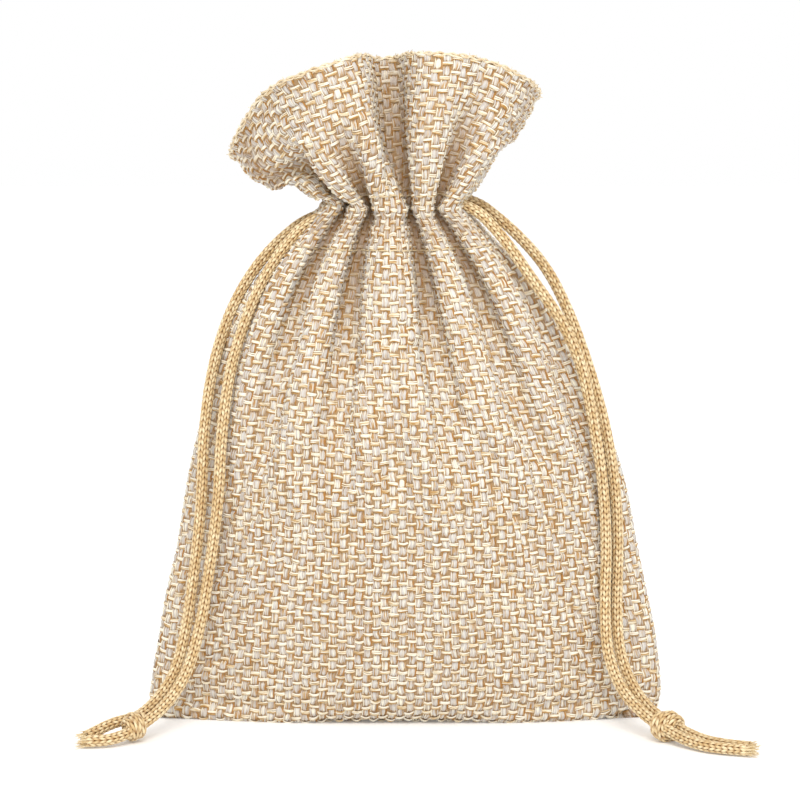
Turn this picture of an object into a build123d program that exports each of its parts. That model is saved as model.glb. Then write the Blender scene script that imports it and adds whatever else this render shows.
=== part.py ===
from build123d import *
import math
import os

# Drawstring gift pouch, standing filled and drawn shut. Millimetres, +Z up, front towards -Y.
# The origin is the middle of the base, on the surface that the pouch stands on.

os.makedirs("parts", exist_ok=True)

# Driving dimensions
WALL = 1.2  # cloth as one solid wall, with its folds
NECK_Z = 97.5  # where the body ends and the drawstring channel begins
CASING_H = 8.0  # height of the drawstring channel's strip
CASING_DEPTH = 14.0  # gathered neck, front to back
CASING_WIDTH = 27.0  # gathered neck, side to side
THROAT_DEPTH = 6.0  # opening that the gathered neck leaves
THROAT_WIDTH = 19.0
SKIN = 0.7  # one layer of cloth beside the cords
CORD_D = 2.2  # knitted cord
CORD_Y = 5.0  # cord runs in the channel, in front of and behind the throat
LOW_CORD_Z = 100.1  # left drawstring's level in the channel
HIGH_CORD_Z = 102.9  # right drawstring's level in the channel
CHANNEL_Z = (98.7, 104.3)
FRILL_Z = 106.3  # the frill's root, just clear of the channel strip
FRILL_TOP = 131.0
SEAM_HALF = 0.5  # half the thickness of the seam allowances
SEAM_W = 5.0  # seam allowance inside the bag
THREAD = 0.5

# Filled body as lens sections: height, half width, half depth
BODY = [
    (0.0, 47.5, 10.5),
    (8.0, 50.0, 12.5),
    (30.0, 45.6, 17.0),
    (50.0, 41.2, 20.5),
    (64.0, 36.4, 20.5),
    (78.0, 30.4, 17.0),
    (88.0, 25.6, 12.5),
    (NECK_Z, 14.5, 7.6),
]

# Frill as oval sections: height, half width, half depth
FRILL = [
    (FRILL_Z, 14.0, 7.0),
    (109.5, 30.0, 9.0),
    (114.0, 34.0, 12.0),
    (FRILL_TOP, 35.0, 18.5),
]

# The frill's outline from the front, which opens like a fan above the neck
FRILL_OUTLINE = [
    (-14.5, FRILL_Z),
    (-34.0, 109.5),
    (-31.5, 117.0),
    (-27.0, 124.0),
    (-18.0, 129.0),
    (-8.0, FRILL_TOP),
    (14.0, FRILL_TOP),
    (21.0, 129.5),
    (27.0, 124.0),
    (24.5, 115.0),
    (14.5, FRILL_Z),
]

# Free stretches of the drawstrings, from inside the channel to the tails' ends
LEFT_FRONT_ROUTE = [
    (-3.0, -5.0, LOW_CORD_Z),
    (-13.8, -5.1, 100.2),
    (-21.9, -5.8, 92.0),
    (-27.4, -6.2, 81.6),
    (-31.2, -7.2, 70.2),
    (-33.0, -9.2, 57.4),
    (-33.5, -10.4, 44.6),
    (-35.1, -10.8, 32.4),
    (-36.9, -11.8, 20.8),
    (-39.3, -15.0, 11.6),
    (-43.0, -20.0, 6.2),
    (-47.6, -24.8, 3.2),
    (-51.2, -28.2, 1.8),
    (-54.4, -30.0, 1.4),
    (-57.6, -30.2, 1.4),
]
LEFT_BACK_ROUTE = [
    (-3.0, 5.0, LOW_CORD_Z),
    (-14.0, 5.0, 99.8),
    (-23.8, 3.2, 92.4),
    (-30.6, 0.6, 82.6),
    (-34.8, -3.2, 70.8),
    (-36.6, -6.4, 57.0),
    (-36.9, -8.2, 44.0),
    (-38.2, -9.2, 31.6),
    (-39.8, -10.4, 20.0),
    (-41.6, -13.6, 11.6),
    (-44.8, -18.2, 6.9),
    (-48.6, -21.8, 4.0),
    (-52.2, -23.8, 3.8),
    (-55.2, -26.0, 2.9),
    (-57.8, -28.2, 1.9),
]
RIGHT_FRONT_ROUTE = [
    (3.0, -5.0, HIGH_CORD_Z),
    (14.0, -5.3, 102.2),
    (21.2, -7.4, 95.2),
    (26.8, -8.2, 87.0),
    (32.4, -8.0, 79.4),
    (36.6, -7.4, 70.4),
    (39.0, -7.0, 59.0),
    (40.9, -7.0, 47.4),
    (41.7, -7.3, 35.0),
    (41.3, -8.4, 23.6),
    (41.6, -11.6, 14.2),
    (44.2, -17.0, 8.0),
    (48.6, -22.6, 4.2),
    (52.4, -26.2, 2.5),
    (56.0, -30.8, 1.4),
    (60.2, -35.2, 1.3),
    (66.2, -37.0, 1.3),
]
RIGHT_BACK_ROUTE = [
    (3.0, 5.0, HIGH_CORD_Z),
    (14.4, 5.0, 102.7),
    (22.8, 4.0, 96.4),
    (30.0, 2.4, 88.8),
    (34.8, 0.4, 79.2),
    (38.6, -2.0, 68.4),
    (41.6, -3.8, 57.6),
    (43.5, -4.8, 46.0),
    (44.1, -5.4, 34.4),
    (43.7, -6.6, 23.2),
    (44.0, -9.6, 14.6),
    (46.2, -14.6, 8.8),
    (49.4, -19.6, 5.0),
    (53.0, -23.0, 3.2),
    (57.2, -27.8, 1.7),
    (61.4, -32.2, 1.3),
    (67.0, -34.3, 1.3),
]

# Knots that join each drawstring's two ends: centre, half length along the cords, radius
LEFT_KNOT = ((-49.2, -24.3, 3.0), 2.8, 2.6)
RIGHT_KNOT = ((52.4, -24.3, 2.95), 3.0, 2.8)


def save(part, name):
    part.label = name
    export_step(part, f"parts/{name}.step")


def lens(z, a, b):
    # Two arcs, front and back, that meet at the side seams
    with BuildSketch(Plane.XY.offset(z)) as section:
        with BuildLine():
            ThreePointArc((-a, 0), (0, -b), (a, 0))
            ThreePointArc((a, 0), (0, b), (-a, 0))
        make_face()
    return section.sketch


def oval(z, a, b):
    with BuildSketch(Plane.XY.offset(z)) as section:
        Ellipse(a, b)
    return section.sketch


def lenses(sections, inset):
    return [lens(z, a - inset, b - inset) for z, a, b in sections]


def ovals(sections, inset, rise):
    return [oval(z + rise, a - inset, b - inset) for z, a, b in sections]


# Body: the bag's wall, cut into two panels and the seams between them
INNER = [(max(z, WALL), a, b) for z, a, b in BODY]

with BuildPart() as body_wall:
    loft(lenses(BODY, 0))
    loft(lenses(INNER, WALL), mode=Mode.SUBTRACT)

for name, side in (("front_panel", -1), ("back_panel", 1)):
    with BuildPart() as panel:
        add(body_wall.part)
        with Locations((0, side * (50 + SEAM_HALF), 60)):
            Box(120, 100, 140, mode=Mode.INTERSECT)
    save(panel.part, name)

# Seams: the two panels' edges stitched together, standing into the bag
with BuildPart() as seam_web:
    loft(lenses(BODY, 0))
    with Locations((0, 0, 60)):
        Box(120, 2 * SEAM_HALF, 140, mode=Mode.INTERSECT)

WEB_INNER = [(max(z, SEAM_W), a, b) for z, a, b in BODY]

with BuildPart() as seam_hollow:
    loft(lenses(WEB_INNER, SEAM_W))

for name, side in (("left_side_seam", -1), ("right_side_seam", 1)):
    with BuildPart() as side_seam:
        add(seam_web.part)
        add(seam_hollow.part, mode=Mode.SUBTRACT)
        with Locations((side * 50, 0, SEAM_W + 60)):
            Box(100, 10, 120, mode=Mode.INTERSECT)
    save(side_seam.part, name)

with BuildPart() as bottom_seam:
    add(seam_web.part)
    with Locations((0, 0, SEAM_W / 2)):
        Box(120, 10, SEAM_W, mode=Mode.INTERSECT)
save(bottom_seam.part, "bottom_seam")

# Overlock thread along the bottom seam's raw edge, inside the bag
with BuildPart() as bottom_overlock:
    with Locations((0, 0, SEAM_W + THREAD / 2)):
        Box(72, 2 * SEAM_HALF + THREAD, THREAD)
save(bottom_overlock.part, "bottom_seam_overlock")

# Drawstring channel: a double strip round the neck with the cords between its layers
STRAIGHT = CASING_WIDTH - CASING_DEPTH
THROAT_STRAIGHT = THROAT_WIDTH - THROAT_DEPTH

with BuildPart() as casing:
    with BuildSketch(Plane.XY.offset(NECK_Z)):
        SlotCenterToCenter(STRAIGHT, CASING_DEPTH)
        SlotCenterToCenter(THROAT_STRAIGHT, THROAT_DEPTH, mode=Mode.SUBTRACT)
    extrude(amount=CASING_H)
    with BuildSketch(Plane.XY.offset(CHANNEL_Z[0])):
        SlotCenterToCenter(STRAIGHT, CASING_DEPTH - 2 * SKIN)
        SlotCenterToCenter(THROAT_STRAIGHT, THROAT_DEPTH + 2 * SKIN, mode=Mode.SUBTRACT)
    extrude(amount=CHANNEL_Z[1] - CHANNEL_Z[0], mode=Mode.SUBTRACT)
    for x, z in ((-CASING_WIDTH / 2, LOW_CORD_Z), (CASING_WIDTH / 2, HIGH_CORD_Z)):
        with Locations((x, CORD_Y, z), (x, -CORD_Y, z)):
            Cylinder(CORD_D / 2 + 0.7, 14, rotation=(0, 90, 0), mode=Mode.SUBTRACT)

for name, side in (("front_casing", -1), ("back_casing", 1)):
    with BuildPart() as half_casing:
        add(casing.part)
        with Locations((0, side * 25, 100)):
            Box(100, 50, 60, mode=Mode.INTERSECT)
    save(half_casing.part, name)

# Two rows of stitching close the channel below and above the cords
for name, z in (("lower_casing_stitches", 97.9), ("upper_casing_stitches", 104.6)):
    with BuildPart() as stitches:
        with BuildSketch(Plane.XY.offset(z)):
            SlotCenterToCenter(STRAIGHT, CASING_DEPTH + 2 * THREAD)
            SlotCenterToCenter(STRAIGHT, CASING_DEPTH, mode=Mode.SUBTRACT)
        extrude(amount=THREAD)
    save(stitches.part, name)

# Frill above the channel: a flared wall trimmed to the fan outline, as two lips
with BuildPart() as frill_wall:
    loft(ovals(FRILL, 0, 0), ruled=True)
    loft(ovals(FRILL, WALL, WALL), ruled=True, mode=Mode.SUBTRACT)
    with BuildSketch(Plane.XY.offset(FRILL_Z)):
        Ellipse(14.0 - WALL, 7.0 - WALL)
    extrude(amount=WALL, mode=Mode.SUBTRACT)
    with BuildSketch(Plane.XZ):
        with BuildLine():
            Polyline(FRILL_OUTLINE, close=True)
        make_face()
    extrude(amount=40, both=True, mode=Mode.INTERSECT)

for name, side in (("front_frill", -1), ("back_frill", 1)):
    with BuildPart() as lip:
        add(frill_wall.part)
        with Locations((0, side * (25 + 0.3), 118)):
            Box(100, 50, 60, mode=Mode.INTERSECT)
    save(lip.part, name)


def arc_radii(points):
    # Largest arc at each corner that its two runs leave room for
    radii = []
    for before, here, after in zip(points, points[1:], points[2:]):
        arriving = Vector(*here) - Vector(*before)
        leaving = Vector(*after) - Vector(*here)
        half_turn = math.radians(arriving.get_angle(leaving)) / 2
        radii.append(0.45 * min(arriving.length, leaving.length) / math.tan(half_turn))
    return radii


def cord_tube(route):
    radii = arc_radii(route)
    with BuildPart() as tube:
        with BuildLine() as path:
            FilletPolyline(*route, radius=radii)
        centre_line = path.wires()[0]
        with BuildSketch(Plane(origin=centre_line @ 0, z_dir=centre_line % 0)):
            Circle(CORD_D / 2)
        sweep(path=centre_line)
    length = centre_line.length
    section = math.pi * (CORD_D / 2) ** 2
    share = tube.part.volume / (section * length)
    print(f"cord length {length:.1f}, smallest radius {min(radii):.1f}, volume share {share:.3f}")
    print("  radii", [round(r, 1) for r in radii])
    return tube.part


# Free strands: each drawstring's two ends, which leave the channel side by side
for name, route in (
    ("left_drawstring_front_strand", LEFT_FRONT_ROUTE),
    ("left_drawstring_back_strand", LEFT_BACK_ROUTE),
    ("right_drawstring_front_strand", RIGHT_FRONT_ROUTE),
    ("right_drawstring_back_strand", RIGHT_BACK_ROUTE),
):
    save(cord_tube(route), name)

# The rest of each drawstring: once round the far end of the channel
END_X = STRAIGHT / 2
for name, side, z in (
    ("left_drawstring_channel_loop", 1, LOW_CORD_Z),
    ("right_drawstring_channel_loop", -1, HIGH_CORD_Z),
):
    with BuildPart() as channel_loop:
        with BuildLine(Plane.XY.offset(z)) as loop_path:
            Line((-side * 2.6, -CORD_Y), (side * END_X, -CORD_Y))
            ThreePointArc(
                (side * END_X, -CORD_Y), (side * (END_X + CORD_Y), 0), (side * END_X, CORD_Y)
            )
            Line((side * END_X, CORD_Y), (-side * 2.6, CORD_Y))
        loop_line = loop_path.wires()[0]
        with BuildSketch(Plane(origin=loop_line @ 0, z_dir=loop_line % 0)):
            Circle(CORD_D / 2)
        sweep(path=loop_line)
    save(channel_loop.part, name)

# Knots: each closes one drawstring's two ends together
for name, (centre, half_length, radius) in (
    ("left_drawstring_knot", LEFT_KNOT),
    ("right_drawstring_knot", RIGHT_KNOT),
):
    with BuildPart() as knot:
        with BuildSketch(Plane(origin=centre)):
            Ellipse(half_length, radius)
            with Locations((0, -radius)):
                Rectangle(2 * half_length, 2 * radius, mode=Mode.SUBTRACT)
        revolve(axis=Axis(centre, (1, 0, 0)))
    save(knot.part, name)
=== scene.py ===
import math
from collections import namedtuple

import bpy
import numpy as np
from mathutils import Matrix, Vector


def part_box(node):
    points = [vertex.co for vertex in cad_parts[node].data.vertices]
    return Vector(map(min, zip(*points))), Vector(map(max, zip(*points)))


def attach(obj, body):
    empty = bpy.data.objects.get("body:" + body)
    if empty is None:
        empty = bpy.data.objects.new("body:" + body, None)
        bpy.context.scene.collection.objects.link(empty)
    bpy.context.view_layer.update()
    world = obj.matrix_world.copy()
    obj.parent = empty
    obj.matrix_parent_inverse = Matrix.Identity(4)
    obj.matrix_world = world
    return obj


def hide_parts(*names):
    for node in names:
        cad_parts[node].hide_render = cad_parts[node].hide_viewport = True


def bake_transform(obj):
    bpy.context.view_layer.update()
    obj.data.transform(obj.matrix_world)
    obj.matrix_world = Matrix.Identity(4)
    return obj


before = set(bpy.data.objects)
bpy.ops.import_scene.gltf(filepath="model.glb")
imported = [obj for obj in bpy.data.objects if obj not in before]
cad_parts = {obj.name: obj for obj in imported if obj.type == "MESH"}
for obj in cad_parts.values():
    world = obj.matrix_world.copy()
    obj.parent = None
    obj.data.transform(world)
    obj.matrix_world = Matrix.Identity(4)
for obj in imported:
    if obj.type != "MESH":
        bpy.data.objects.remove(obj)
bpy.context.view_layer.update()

MM = 0.001  # cloth, threads and knots are worked out in millimetres, and become metres in mesh_object
TAU = 2 * math.pi
TINY = 1e-9  # keeps a division by a length from failing
random = np.random.default_rng(11)

# ---------------------------------------------------------------- camera

TARGET = Vector((0.0015, 0.0, 0.0625))
ELEVATION = math.radians(7.0)
DISTANCE = 0.62
SCENE_WIDTH = 0.1565  # width of the view at the target
SENSOR = 36

camera_data = bpy.data.cameras.new("camera")
camera_data.sensor_width = SENSOR
camera_data.lens = SENSOR * DISTANCE / SCENE_WIDTH
camera_data.clip_start = 0.01
camera = bpy.data.objects.new("camera", camera_data)
bpy.context.scene.collection.objects.link(camera)
away = Vector((0, -math.cos(ELEVATION), math.sin(ELEVATION)))
camera.location = TARGET + away * DISTANCE
camera.rotation_euler = (-away).to_track_quat("-Z", "Y").to_euler()
bpy.context.scene.camera = camera

# ---------------------------------------------------------------- cord routes

CORD_D = 0.0022
CORD_R = CORD_D / 2 / MM  # in millimetres, as the stitches are

# Each strand from inside the channel, out at the neck, down the bag's side and past its knot, in metres
LEFT_FRONT_ROUTE = [
    (-0.0030, -0.0050, 0.1001),
    (-0.0138, -0.0051, 0.1002),
    (-0.0219, -0.0058, 0.0920),
    (-0.0274, -0.0062, 0.0816),
    (-0.0312, -0.0072, 0.0702),
    (-0.0330, -0.0092, 0.0574),
    (-0.0335, -0.0104, 0.0446),
    (-0.0351, -0.0108, 0.0324),
    (-0.0369, -0.0118, 0.0208),
    (-0.0393, -0.0150, 0.0116),
    (-0.0430, -0.0200, 0.0062),
    (-0.0476, -0.0248, 0.0032),
    (-0.0512, -0.0282, 0.0018),
    (-0.0544, -0.0300, 0.0014),
    (-0.0576, -0.0302, 0.0014),
]
LEFT_BACK_ROUTE = [
    (-0.0030, 0.0050, 0.1001),
    (-0.0140, 0.0050, 0.0998),
    (-0.0238, 0.0032, 0.0924),
    (-0.0306, 0.0006, 0.0826),
    (-0.0348, -0.0032, 0.0708),
    (-0.0366, -0.0064, 0.0570),
    (-0.0369, -0.0082, 0.0440),
    (-0.0382, -0.0092, 0.0316),
    (-0.0398, -0.0104, 0.0200),
    (-0.0416, -0.0136, 0.0116),
    (-0.0448, -0.0182, 0.0069),
    (-0.0486, -0.0218, 0.0040),
    (-0.0522, -0.0238, 0.0038),
    (-0.0552, -0.0260, 0.0029),
    (-0.0578, -0.0282, 0.0019),
]
RIGHT_FRONT_ROUTE = [
    (0.0030, -0.0050, 0.1029),
    (0.0140, -0.0053, 0.1022),
    (0.0212, -0.0074, 0.0952),
    (0.0268, -0.0082, 0.0870),
    (0.0324, -0.0080, 0.0794),
    (0.0366, -0.0074, 0.0704),
    (0.0390, -0.0070, 0.0590),
    (0.0409, -0.0070, 0.0474),
    (0.0417, -0.0073, 0.0350),
    (0.0413, -0.0084, 0.0236),
    (0.0416, -0.0116, 0.0142),
    (0.0442, -0.0170, 0.0080),
    (0.0486, -0.0226, 0.0042),
    (0.0524, -0.0262, 0.0025),
    (0.0560, -0.0308, 0.0014),
    (0.0602, -0.0352, 0.0013),
    (0.0662, -0.0370, 0.0013),
]
RIGHT_BACK_ROUTE = [
    (0.0030, 0.0050, 0.1029),
    (0.0144, 0.0050, 0.1027),
    (0.0228, 0.0040, 0.0964),
    (0.0300, 0.0024, 0.0888),
    (0.0348, 0.0004, 0.0792),
    (0.0386, -0.0020, 0.0684),
    (0.0416, -0.0038, 0.0576),
    (0.0435, -0.0048, 0.0460),
    (0.0441, -0.0054, 0.0344),
    (0.0437, -0.0066, 0.0232),
    (0.0440, -0.0096, 0.0146),
    (0.0462, -0.0146, 0.0088),
    (0.0494, -0.0196, 0.0050),
    (0.0530, -0.0230, 0.0032),
    (0.0572, -0.0278, 0.0017),
    (0.0614, -0.0322, 0.0013),
    (0.0670, -0.0343, 0.0013),
]


def route_line(route):
    """The smooth line of a cord: a NURBS curve with the route's points as its control points."""
    data = bpy.data.curves.new("route", "CURVE")
    data.dimensions = "3D"
    spline = data.splines.new("NURBS")
    spline.points.add(len(route) - 1)
    for point, place in zip(spline.points, route):
        point.co = (*place, 1)
    spline.order_u = 3
    spline.use_endpoint_u = True
    spline.resolution_u = 24
    holder = bpy.data.objects.new("route", data)
    bpy.context.scene.collection.objects.link(holder)
    bpy.context.view_layer.update()
    evaluated = holder.evaluated_get(bpy.context.evaluated_depsgraph_get())
    line = bpy.data.meshes.new_from_object(evaluated)
    places = np.array([v.co[:] for v in line.vertices])
    bpy.data.objects.remove(holder)
    bpy.data.meshes.remove(line)
    return places


# ---------------------------------------------------------------- materials


class Nodes:
    """A material's node tree, with short ways to add what the cloth and cords need."""

    def __init__(self, name):
        self.material = bpy.data.materials.new(name)
        self.material.use_nodes = True
        self.tree = self.material.node_tree
        self.shader = self.tree.nodes["Principled BSDF"]

    def add(self, kind, **values):
        node = self.tree.nodes.new(kind)
        for key, value in values.items():
            setattr(node, key, value)
        return node

    def link(self, output, socket):
        self.tree.links.new(output, socket)

    def attribute(self, name):
        return self.add("ShaderNodeAttribute", attribute_name=name).outputs["Fac"]

    def fill(self, slot, value):
        """Gives a node's input a number or a colour, or links an output to it."""
        if isinstance(value, (int, float)):
            slot.default_value = value
        elif isinstance(value, tuple):
            slot.default_value = (*value, 1)
        else:
            self.link(value, slot)

    def maths(self, operation, a, b):
        node = self.add("ShaderNodeMath", operation=operation)
        self.fill(node.inputs[0], a)
        self.fill(node.inputs[1], b)
        return node.outputs[0]

    def noise(self, scale, detail=3.0, roughness=0.6, vector=None):
        node = self.add("ShaderNodeTexNoise")
        node.inputs["Scale"].default_value = scale
        node.inputs["Detail"].default_value = detail
        node.inputs["Roughness"].default_value = roughness
        if vector is not None:
            self.link(vector, node.inputs["Vector"])
        return node.outputs["Fac"]

    def ramp(self, factor, stops):
        node = self.add("ShaderNodeValToRGB")
        elements = node.color_ramp.elements
        while len(elements) < len(stops):
            elements.new(0.5)
        for element, (place, colour) in zip(elements, stops):
            element.position = place
            element.color = (*colour, 1)
        self.link(factor, node.inputs["Fac"])
        return node.outputs["Color"]

    def mix(self, factor, a, b):
        node = self.add("ShaderNodeMix", data_type="RGBA", blend_type="MIX")
        for index, value in ((0, factor), (6, a), (7, b)):  # the inputs of a colour mix
            self.fill(node.inputs[index], value)
        return node.outputs[2]

    def surface(self, **values):
        """Sets the shader's own sockets, such as sheen_weight, to values that are the same all over."""
        for key, value in values.items():
            self.shader.inputs[key.replace("_", " ").title()].default_value = value

    def bump(self, height, strength, distance):
        node = self.add("ShaderNodeBump")
        node.inputs["Strength"].default_value = strength
        node.inputs["Distance"].default_value = distance
        self.link(height, node.inputs["Height"])
        self.link(node.outputs["Normal"], self.shader.inputs["Normal"])


EDGE_BROWN_AND_DIP_SHADE = (0.31, 0.125, 0.020)  # the thin brown lines at the yarns' edges, partly the yarn's own brown and partly painted shade, and painted shade where the yarns dip under
# painted shade in the folds near the neck
PAINTED_FOLD_SHADE = (0.27, 0.12, 0.022)
# painted shade between a cord's stitches and in its core
STITCH_SHADE_BROWN = (0.29, 0.11, 0.008)


def yarn_material(name, fibre_stops, across_scale, along_scale):
    """Flat spun yarn: fibres of several shades, darker at its edges, where it dips and in folds; the
    darkening is painted shade, at the edges partly the yarn's own brown.
    """
    m = Nodes(name)
    uv = m.add("ShaderNodeUVMap", uv_map="yarn").outputs["UV"]

    def fibres(across, along, detail, roughness):
        """Noise drawn out along the yarn."""
        stretch = m.add("ShaderNodeMapping")
        stretch.inputs["Scale"].default_value = (across, along, 1)
        m.link(uv, stretch.inputs["Vector"])
        return m.noise(1.0, detail, roughness, stretch.outputs["Vector"])

    coarse = fibres(across_scale, along_scale, 3.0, 0.6)
    fine = fibres(across_scale * 3.1, along_scale * 1.7, 2.0, 0.5)
    level = m.maths("ADD", m.maths("MULTIPLY", coarse, 0.7), m.maths("MULTIPLY", fine, 0.3))
    level = m.maths("ADD", level, m.attribute("shade"))
    body = m.ramp(level, fibre_stops)
    # painted shade at the edges (partly the yarn's own brown) and where the yarn dips under the
    # crossing yarn
    at_edge = m.maths("MULTIPLY", m.maths("POWER", m.attribute("side"), 3.0), 0.7)
    dip_shade_share = m.maths("MULTIPLY", m.attribute("dip"), 0.8)
    # painted shade in the folds near the neck
    fold_shade_share = m.maths("MULTIPLY", m.attribute("fold_shade"), 0.8)
    yarn = m.mix(m.maths("MAXIMUM", at_edge, dip_shade_share), body, EDGE_BROWN_AND_DIP_SHADE)
    m.link(m.mix(fold_shade_share, yarn, PAINTED_FOLD_SHADE), m.shader.inputs["Base Color"])
    m.surface(roughness=0.7, sheen_weight=0.08, sheen_roughness=0.4)
    m.bump(level, 0.6, 0.00015)
    return m.material


# Shades of the fibres, from the darkest to the palest
WEFT = yarn_material(
    "weft_yarn",
    (
        (0.36, (0.46, 0.24, 0.055)),
        (0.45, (0.70, 0.51, 0.27)),
        (0.52, (0.86, 0.75, 0.53)),
        (0.61, (0.98, 0.93, 0.79)),
    ),
    across_scale=3.2,
    along_scale=0.55,
)
WARP = yarn_material(
    "warp_yarn",
    (
        (0.34, (0.40, 0.18, 0.03)),
        (0.42, (0.55, 0.38, 0.20)),
        (0.48, (0.57, 0.525, 0.475)),
        (0.55, (0.62, 0.595, 0.565)),
        (0.64, (0.91, 0.855, 0.68)),
    ),
    across_scale=3.0,
    along_scale=0.35,
)


def ground_material():
    """The cloth seen between its yarns: the shaded sides of the threads."""
    m = Nodes("cloth_ground")
    grain = m.noise(3600.0, 4.0)
    body = m.ramp(grain, ((0.3, (0.22, 0.095, 0.02)), (0.7, (0.55, 0.40, 0.23))))
    m.link(body, m.shader.inputs["Base Color"])
    m.surface(roughness=0.9)
    m.bump(grain, 0.4, 0.0002)
    return m.material


GROUND = ground_material()


def cord_material(name, pale, deep):
    """Knitted yarn with a soft sheen, with painted shade where the stitches meet."""
    m = Nodes(name)
    grain = m.noise(2600.0, 3.0)
    tone = m.attribute("tone")
    level = m.maths("ADD", m.maths("MULTIPLY", grain, 0.5), m.maths("MULTIPLY", tone, 0.5))
    body = m.ramp(level, ((0.25, deep), (0.75, pale)))
    m.link(m.mix(m.attribute("dip"), body, STITCH_SHADE_BROWN), m.shader.inputs["Base Color"])
    m.surface(roughness=0.5, sheen_weight=0.15)
    m.bump(grain, 0.4, 0.0001)
    return m.material


CORD = cord_material("knitted_cord", (0.90, 0.75, 0.47), (0.56, 0.34, 0.11))
FIBRE = cord_material("loose_fibre", (0.92, 0.82, 0.62), (0.55, 0.37, 0.16))
THREAD = cord_material("sewing_thread", (0.74, 0.60, 0.38), (0.52, 0.37, 0.18))

# ---------------------------------------------------------------- meshes


def unit(vectors):
    return vectors / (np.linalg.norm(vectors, axis=-1, keepdims=True) + TINY)


def length_along(places):
    """The length from the first place to each place of a line."""
    return np.concatenate([[0], np.cumsum(np.linalg.norm(np.diff(places, axis=0), axis=1))])


def places_at(places, run, at):
    """Places of a line at some lengths along it, where run is its length_along."""
    return np.stack([np.interp(at, run, places[:, k]) for k in range(places.shape[1])], 1)


def mesh_object(name, vertices, faces, material, attributes=None, uv=None):
    """A smooth mesh from arrays: vertices in millimetres, attributes and uv per vertex."""
    mesh = bpy.data.meshes.new(name)
    vertices = np.asarray(vertices, np.float64) * MM
    faces = np.asarray(faces, np.int32)
    mesh.vertices.add(len(vertices))
    mesh.vertices.foreach_set("co", vertices.ravel())
    corners = faces.shape[1]
    mesh.loops.add(faces.size)
    mesh.loops.foreach_set("vertex_index", faces.ravel())
    mesh.polygons.add(len(faces))
    mesh.polygons.foreach_set("loop_start", np.arange(0, faces.size, corners, dtype=np.int32))
    mesh.polygons.foreach_set("loop_total", np.full(len(faces), corners, np.int32))
    mesh.update(calc_edges=True)
    mesh.polygons.foreach_set("use_smooth", np.full(len(faces), True))
    for key, values in (attributes or {}).items():
        layer = mesh.attributes.new(key, "FLOAT", "POINT")
        layer.data.foreach_set("value", np.asarray(values, np.float32).ravel())
    if uv is not None:
        layer = mesh.uv_layers.new(name="yarn")
        layer.data.foreach_set("uv", np.asarray(uv, np.float32)[faces.ravel()].ravel())
    mesh.validate()
    mesh.materials.append(material)
    piece = bpy.data.objects.new(name, mesh)
    bpy.context.scene.collection.objects.link(piece)
    return piece


def strip_faces(rings, across, closed=False, start=0):
    """Quads of a grid of rings, each with so many points across."""
    i = np.arange(rings - 1)[:, None] * across
    columns = across if closed else across - 1
    j = np.arange(columns)[None, :]
    k = (j + 1) % across
    quads = np.stack([i + j, i + k, i + across + k, i + across + j], -1)
    return quads.reshape(-1, 4) + start


# ---------------------------------------------------------------- knitted cords


class Line:
    """A line through space with a steady sideways direction, in millimetres."""

    STEP = 0.1

    def __init__(self, places):
        run = length_along(places)
        self.length = run[-1]
        self.count = int(self.length / self.STEP) + 1
        self.places = places_at(places, run, np.linspace(0, self.length, self.count))
        ahead = np.gradient(self.places, axis=0)
        self.ahead = ahead / np.linalg.norm(ahead, axis=1, keepdims=True)
        side = np.cross(self.ahead[0], (0.3, 1.0, 0.2))  # any direction that no line here starts in
        side /= np.linalg.norm(side)
        sides = []
        for direction in self.ahead:
            side = side - direction * (side @ direction)
            side = side / np.linalg.norm(side)
            sides.append(side)
        self.side = np.array(sides)
        self.up = np.cross(self.ahead, self.side)

    def frame(self, s):
        """Place, direction, side and up at lengths s along the line."""
        index = np.clip(s / self.length * (self.count - 1), 0, self.count - 1.001)
        low = index.astype(int)
        share = (index - low)[..., None]
        columns = (self.places, self.ahead, self.side, self.up)
        return [a[low] * (1 - share) + a[low + 1] * share for a in columns]


class Strands:
    """Vertices, faces and attributes gathered into one piece."""

    def __init__(self):
        self.vertices, self.faces, self.tone, self.dip = [], [], [], []
        self.start = 0

    def add(self, rings, tone, dip):
        """Tubes: rings is (tubes, rings, around, 3); tone and dip are one value for each ring."""
        tubes, count, around = rings.shape[:3]
        faces = strip_faces(count, around, closed=True)
        shift = np.arange(tubes)[:, None, None] * count * around + self.start
        self.vertices.append(rings.reshape(-1, 3))
        self.faces.append((faces[None] + shift).reshape(-1, 4))
        self.tone.append(np.repeat(np.broadcast_to(tone, (tubes, count)).ravel(), around))
        self.dip.append(np.repeat(np.broadcast_to(dip, (tubes, count)).ravel(), around))
        self.start += tubes * count * around

    def add_sheet(self, grid, tone, dip):
        """A grid of places, (rows, columns, 3)."""
        rows, columns = grid.shape[:2]
        self.vertices.append(grid.reshape(-1, 3))
        self.faces.append(strip_faces(rows, columns) + self.start)
        self.tone.append(np.full(rows * columns, tone))
        self.dip.append(np.full(rows * columns, dip))
        self.start += rows * columns

    def piece(self, name, material):
        attributes = {"tone": np.concatenate(self.tone), "dip": np.concatenate(self.dip)}
        vertices, faces = np.vstack(self.vertices), np.vstack(self.faces)
        return mesh_object(name, vertices, faces, material, attributes)


def ring_round(centre, across, outward, half_width, half_height, around):
    """Rings of points round centres, flattened along outward."""
    turn = np.arange(around) * TAU / around
    wide = np.cos(turn) * half_width[..., None]
    high = np.sin(turn) * half_height[..., None]
    return (
        centre[..., None, :]
        + wide[..., None] * across[..., None, :]
        + high[..., None] * outward[..., None, :]
    )


WALES = 5  # columns of stitches round a cord
TWIST = 0.02  # radians for each millimetre


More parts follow.
